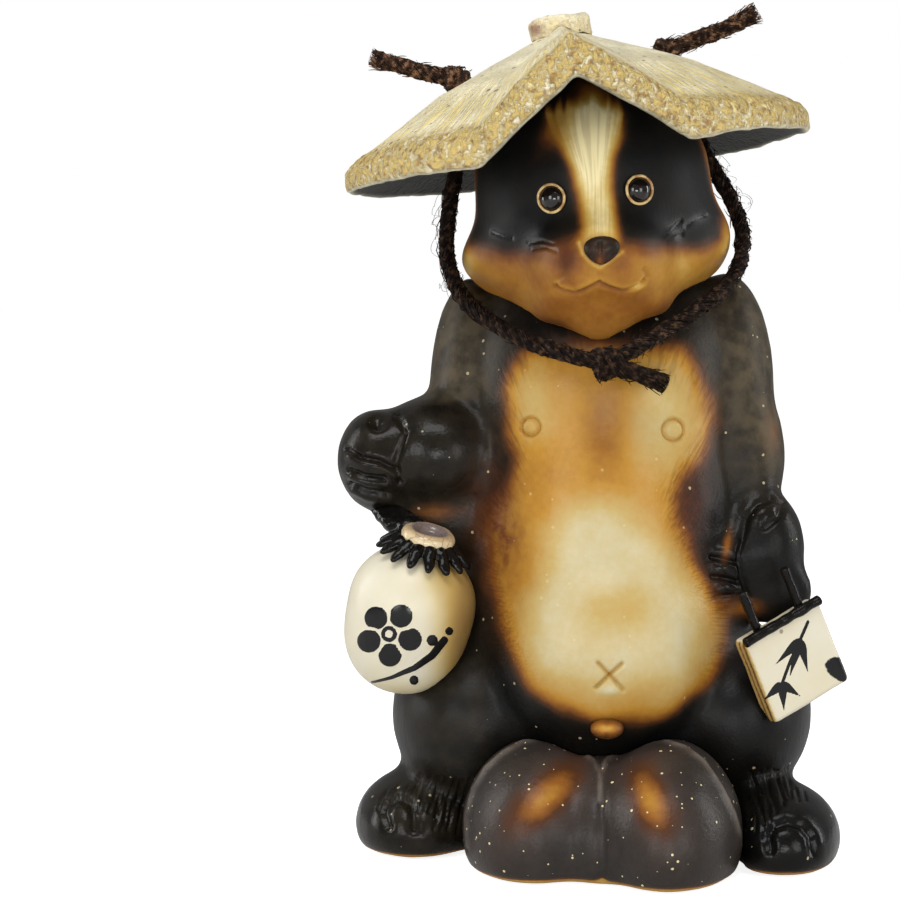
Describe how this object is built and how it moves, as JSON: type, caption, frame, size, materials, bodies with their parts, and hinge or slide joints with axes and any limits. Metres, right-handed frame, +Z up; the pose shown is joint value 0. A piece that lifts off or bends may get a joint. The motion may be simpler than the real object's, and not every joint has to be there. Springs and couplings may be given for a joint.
{
  "type": "raccoon-dog statue",
  "caption": "Standing glazed raccoon-dog statue with a flask, a hanging book and a lift-off cone hat tied under the chin.",
  "frame": {"origin": "on the floor under the middle of the torso's footing", "axes": "+Z up, the face looks along -Y, the hand with the flask is on the -X side"},
  "size_m": [0.1697, 0.1939, 0.2832],
  "materials": {
    "dark_glaze": "glossy near-black brown glaze",
    "body_glaze": "glossy glaze, cream belly in near-black brown",
    "face_glaze": "glossy amber glaze with near-black patches and a cream blaze",
    "amber_glaze": "glossy amber glaze",
    "eye_glaze": "glossy black glaze",
    "nose_glaze": "glossy dark brown glaze",
    "cream_glaze": "glossy cream glaze with black brushwork",
    "lip_glaze": "glossy cream and brown glaze",
    "hat_glaze": "combed matt straw-coloured glaze with dark specks",
    "palm_rope": "twisted dark palm fibre"
  },
  "bodies": {
    "statue": {"body_casting": "body_glaze", "head_casting": "face_glaze", "flask_side_ear": "dark_glaze", "book_side_ear": "dark_glaze", "flask_side_eye_ring": "amber_glaze", "book_side_eye_ring": "amber_glaze", "flask_side_eye_bead": "eye_glaze", "book_side_eye_bead": "eye_glaze", "nose_pad": "nose_glaze", "flask_arm": "dark_glaze", "book_arm": "dark_glaze", "flask_fist": "dark_glaze", "book_paw": "dark_glaze", "flask_side_foot": "dark_glaze", "book_side_foot": "dark_glaze", "money_pouch": "dark_glaze", "small_nub": "amber_glaze", "tail": "dark_glaze", "sake_flask": "cream_glaze", "flask_lip": "lip_glaze", "flask_cord": "dark_glaze", "account_book": "cream_glaze", "book_binding": "dark_glaze", "book_cords": "dark_glaze"},
    "hat": {"hat_shell": "hat_glaze", "hat_knob": "hat_glaze", "flask_side_stopper_knot": "palm_rope", "book_side_stopper_knot": "palm_rope"},
    "chin_loop": {"flask_side_chin_cord": "palm_rope", "book_side_chin_cord": "palm_rope", "chin_knot": "palm_rope"}
  },
  "joints": [
    {"name": "hat_lift", "type": "slide", "parent": "statue", "child": "hat", "axis": [0, 0, 1], "range_m": [0, 0.056]},
    {"name": "chin_cord_swing", "type": "hinge", "parent": "hat", "child": "chin_loop", "pos_m": [-0.04768, 0.00826, 0.24319], "axis": [-0.9865, -0.0962, -0.1326], "range_deg": [0, 42]}
  ],
  "couplings": [
    {"joint": "chin_cord_swing", "follows": "hat_lift", "rad_per_m": 13.08}
  ]
}
